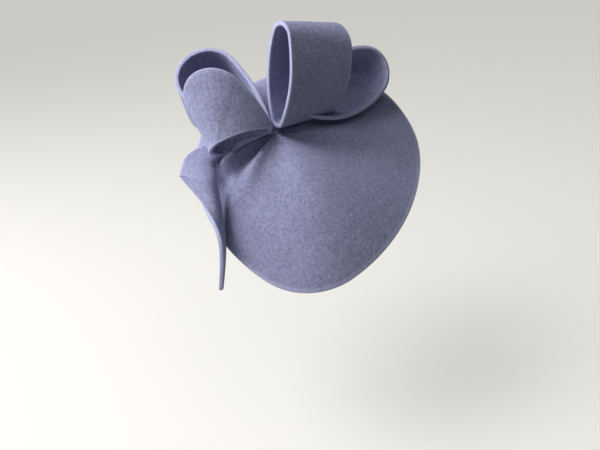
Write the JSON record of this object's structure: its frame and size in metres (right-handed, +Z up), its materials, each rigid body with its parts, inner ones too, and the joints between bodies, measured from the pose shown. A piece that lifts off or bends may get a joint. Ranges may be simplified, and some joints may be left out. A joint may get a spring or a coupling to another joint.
{
  "type": "felt fascinator headpiece",
  "caption": "Stiffened felt cocktail hat with an egg-shaped domed base, a bow of looped felt strips, a curled loose end, and a hair comb sewn under the crown.",
  "frame": {"origin": "middle of the head seat, in the plane of the rim, where the head oval of the band is centred", "axes": "+Z up as worn, -Y towards the front of the hat, where the point of the brim is, and +X to the right seen from the front; the rim plane is tipped 38 degrees forward"},
  "size_m": [0.1938, 0.1709, 0.1911],
  "materials": {
    "felt": "napped wool felt",
    "petersham": "ribbed grosgrain ribbon",
    "comb_metal": "satin wire",
    "sewing_thread": "matt thread"
  },
  "bodies": {
    "hat": {"felt_base": "felt", "loop_centre": "felt", "loop_right": "felt", "loop_left_large": "felt", "loop_left_small": "felt", "tail": "felt", "comb_tab": "petersham", "petersham_band": "petersham", "comb_stitches": "sewing_thread"},
    "comb": {"hair_comb": "comb_metal"}
  },
  "joints": [
    {"name": "comb_rock", "type": "hinge", "parent": "hat", "child": "comb", "pos_m": [-0.001, -0.0481, -0.00776], "axis": [1, 0, 0], "range_deg": [0, 11]}
  ]
}
